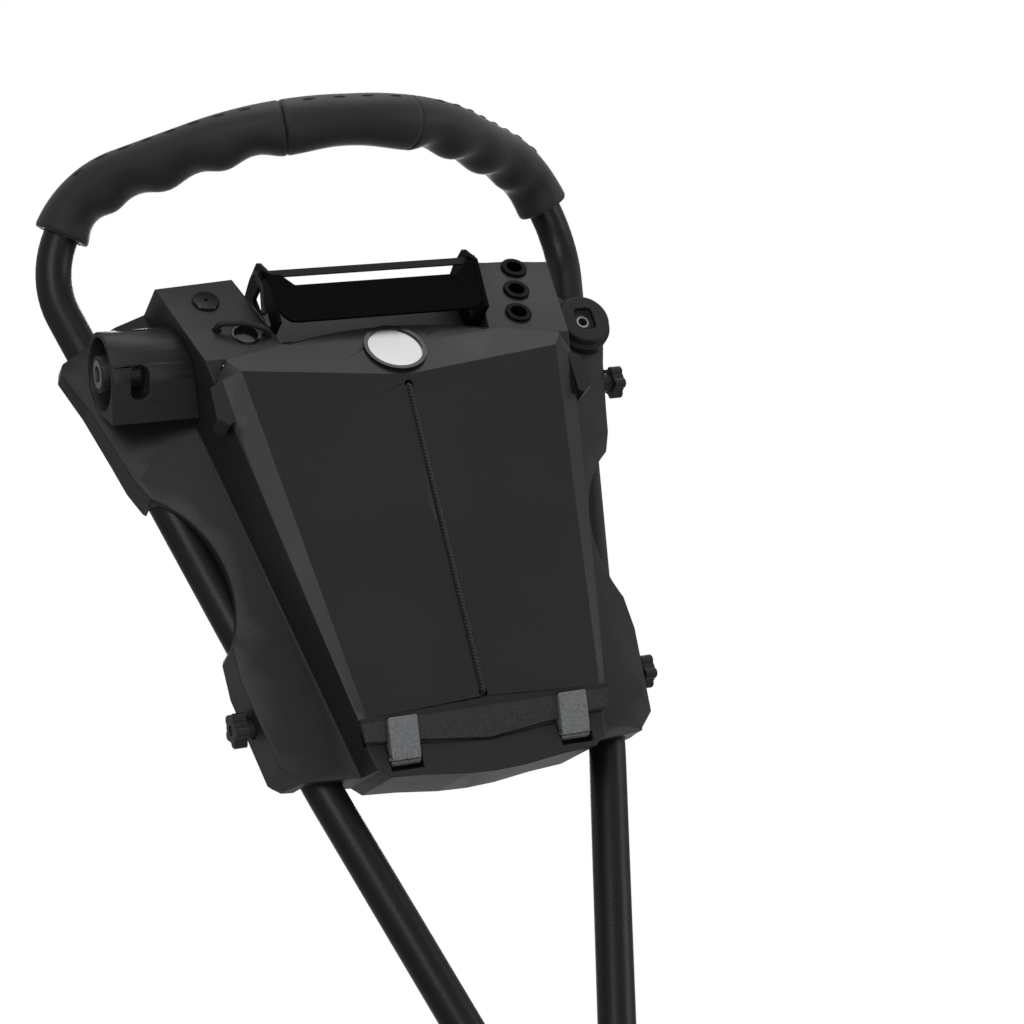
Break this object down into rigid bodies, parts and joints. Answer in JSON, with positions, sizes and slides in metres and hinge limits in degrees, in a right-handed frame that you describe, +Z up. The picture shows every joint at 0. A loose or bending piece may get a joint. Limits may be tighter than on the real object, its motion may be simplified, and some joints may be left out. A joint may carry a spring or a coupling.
{
  "type": "golf push cart handle console",
  "caption": "Bent-tube push-cart handle with grips and a moulded console: lidded bin, card holder, tee holes, umbrella socket and cup-holder mount.",
  "frame": {"origin": "centre of the crossways pivot bore at the foot of the two legs", "axes": "+X along the pivot bore to the user's right when seen from the lid's side, +Y away from the lid (the legs lean back 40.4 degrees towards +Y), +Z up"},
  "size_m": [0.3677, 0.4027, 0.5466],
  "materials": {
    "tube": "satin black powder coat",
    "grip": "matt",
    "moulding": "fine leather grain, satin",
    "lid": "smooth, soft sheen",
    "trim": "coarse spark grain",
    "tray": "smooth, moderate sheen",
    "knob": "satin",
    "plug": "matt",
    "panel": "fine grain",
    "disc": "fine brushed",
    "ring": "polished",
    "hardware": "zinc plated",
    "insert": "turned",
    "cord": "braided",
    "elastic": "matt"
  },
  "bodies": {
    "handle": {"handle_tube": "tube", "leg_plug_left": "plug", "leg_plug_right": "plug", "grip_left": "grip", "grip_middle": "grip", "grip_right": "grip", "console_body": "moulding", "back_panel": "panel", "panel_screws": "hardware", "hinge_pins": "hardware", "catch_magnets": "hardware", "scorecard_tray": "tray", "scorecard_band": "elastic", "ball_elastic": "cord", "ball_cup": "ring", "pin_cap": "ring", "tee_rings": "tray", "umbrella_socket": "moulding", "umbrella_insert": "insert", "cup_mount": "moulding", "cup_insert": "insert", "clamp_nuts": "hardware"},
    "lid": {"lid_shell": "lid", "hinge_lugs": "trim", "lid_ring": "ring", "lid_disc": "disc", "lid_cord": "cord", "lid_strikers": "hardware"},
    "knob_lower_left": {"knob_lower_left": "knob"},
    "knob_lower_right": {"knob_lower_right": "knob"},
    "knob_upper_right": {"knob_upper_right": "knob"}
  },
  "joints": [
    {"name": "lid_hinge", "type": "hinge", "parent": "handle", "child": "lid", "pos_m": [0, 0.09226, 0.16704], "axis": [1, 0, 0], "range_deg": [0, 100]},
    {"name": "knob_lower_left_turn", "type": "hinge", "parent": "handle", "child": "knob_lower_left", "pos_m": [-0.13, 0.15173, 0.17683], "axis": [-1, 0, 0], "continuous": true},
    {"name": "knob_lower_right_turn", "type": "hinge", "parent": "handle", "child": "knob_lower_right", "pos_m": [0.13, 0.15173, 0.17683], "axis": [1, 0, 0], "continuous": true},
    {"name": "knob_upper_right_turn", "type": "hinge", "parent": "handle", "child": "knob_upper_right", "pos_m": [0.175, 0.28713, 0.32947], "axis": [1, 0, 0], "continuous": true}
  ]
}
